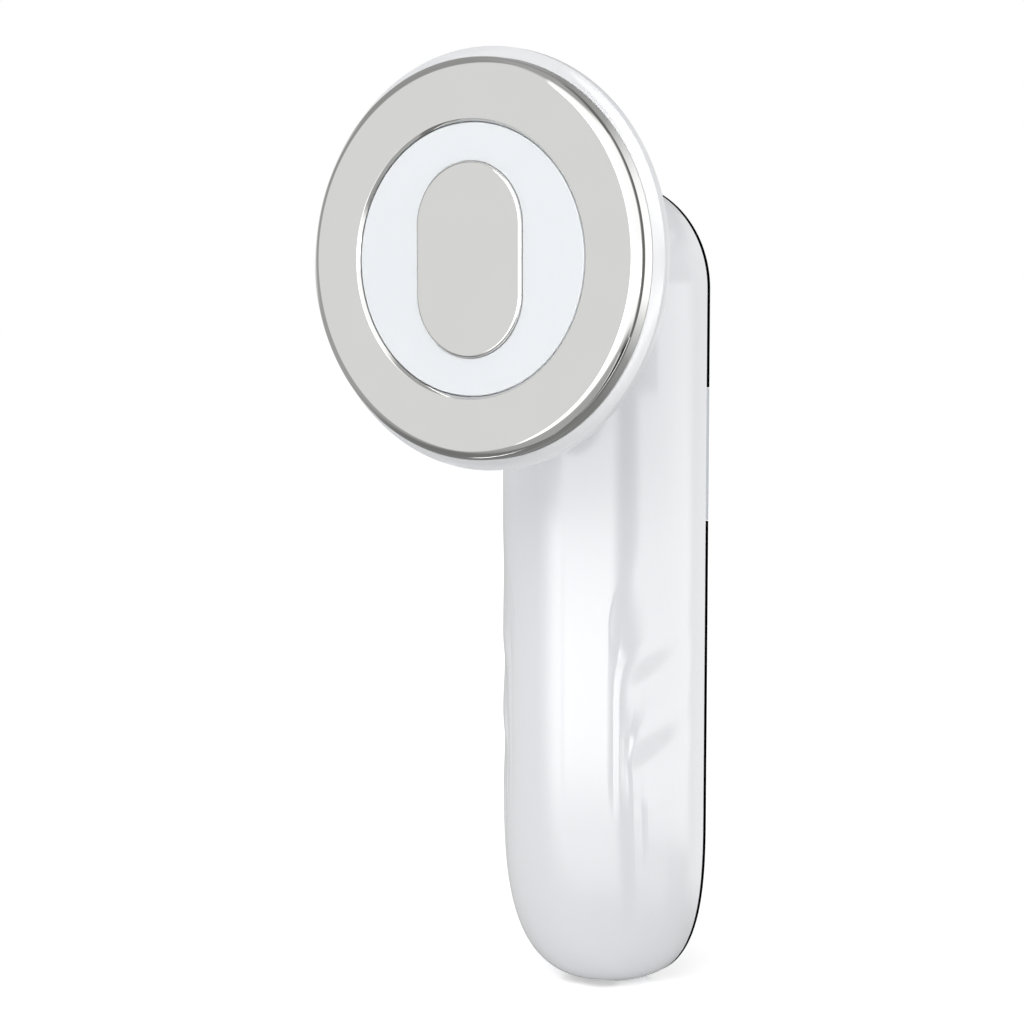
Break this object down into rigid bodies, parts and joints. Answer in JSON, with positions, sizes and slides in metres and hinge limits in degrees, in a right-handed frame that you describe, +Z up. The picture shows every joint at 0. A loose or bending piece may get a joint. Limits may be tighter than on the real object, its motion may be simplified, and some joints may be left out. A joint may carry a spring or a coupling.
{
  "type": "facial toning device",
  "caption": "Hand-held facial toning device: a round head with a ring and an oblong electrode, a milky light window, an upright grip and two keys on its flat back.",
  "frame": {"origin": "bottom centre of the whole device's box", "axes": "+Z up along the grip, +Y out of the flat back; the electrode face looks towards -Y"},
  "size_m": [0.0672, 0.0454, 0.1596],
  "materials": {
    "electrode_steel": "polished",
    "milky_window": "smooth, milky",
    "shell_white": "gloss, moulded",
    "gloss_black": "gloss",
    "control_silver": "satin, blasted",
    "key_metal": "polished",
    "inner_grey": "moulded",
    "rubber_dark": "matte",
    "black_plastic": "matte",
    "steel": "plain",
    "board_green": "solder mask",
    "led_white": "clear over phosphor",
    "copper": "copper",
    "cell_foil": "foil",
    "lead_red": "insulation",
    "lead_yellow": "insulation",
    "lead_blue": "insulation"
  },
  "bodies": {
    "device": {"ring_electrode": "electrode_steel", "centre_electrode": "electrode_steel", "light_window": "milky_window", "bezel_ring": "shell_white", "head_cup": "shell_white", "front_shell": "shell_white", "upper_panel": "gloss_black", "lower_panel": "gloss_black", "control_plate": "control_silver", "electrode_carrier": "inner_grey", "stem_nut": "inner_grey", "rear_frame": "inner_grey", "battery_tray": "inner_grey", "ring_gasket": "rubber_dark", "centre_gasket": "rubber_dark", "bezel_seal": "rubber_dark", "stem_seal": "rubber_dark", "motor_saddle": "rubber_dark", "frame_seal": "rubber_dark", "socket_seal": "rubber_dark", "board_chips": "black_plastic", "buzzer": "black_plastic", "socket_tongue": "black_plastic", "contact_pins": "steel", "carrier_screws": "steel", "motor_can": "steel", "frame_screws": "steel", "tray_screws": "steel", "key_switches": "steel", "charge_socket": "steel", "led_board": "board_green", "main_board": "board_green", "battery_guard": "board_green", "leds": "led_white", "display_module": "led_white", "boost_coil": "copper", "display_flex": "copper", "battery_cell": "cell_foil", "electrode_leads": "lead_red", "battery_leads": "lead_red", "light_leads": "lead_yellow", "motor_leads": "lead_blue"},
    "power_key": {"power_key": "key_metal"},
    "level_key": {"level_key": "key_metal"},
    "motor_weight": {"eccentric_weight": "steel"}
  },
  "joints": [
    {"name": "power_key_press", "type": "slide", "parent": "device", "child": "power_key", "axis": [0, -1, 0], "range_m": [0, 0.0005], "stiffness_N_per_m": 1500, "springref_m": -0.0002},
    {"name": "level_key_press", "type": "slide", "parent": "device", "child": "level_key", "axis": [0, -1, 0], "range_m": [0, 0.0005], "stiffness_N_per_m": 1500, "springref_m": -0.0002},
    {"name": "motor_spin", "type": "hinge", "parent": "device", "child": "motor_weight", "pos_m": [0.0035, -0.0118, 0.1325], "axis": [1, 0, 0], "continuous": true}
  ]
}
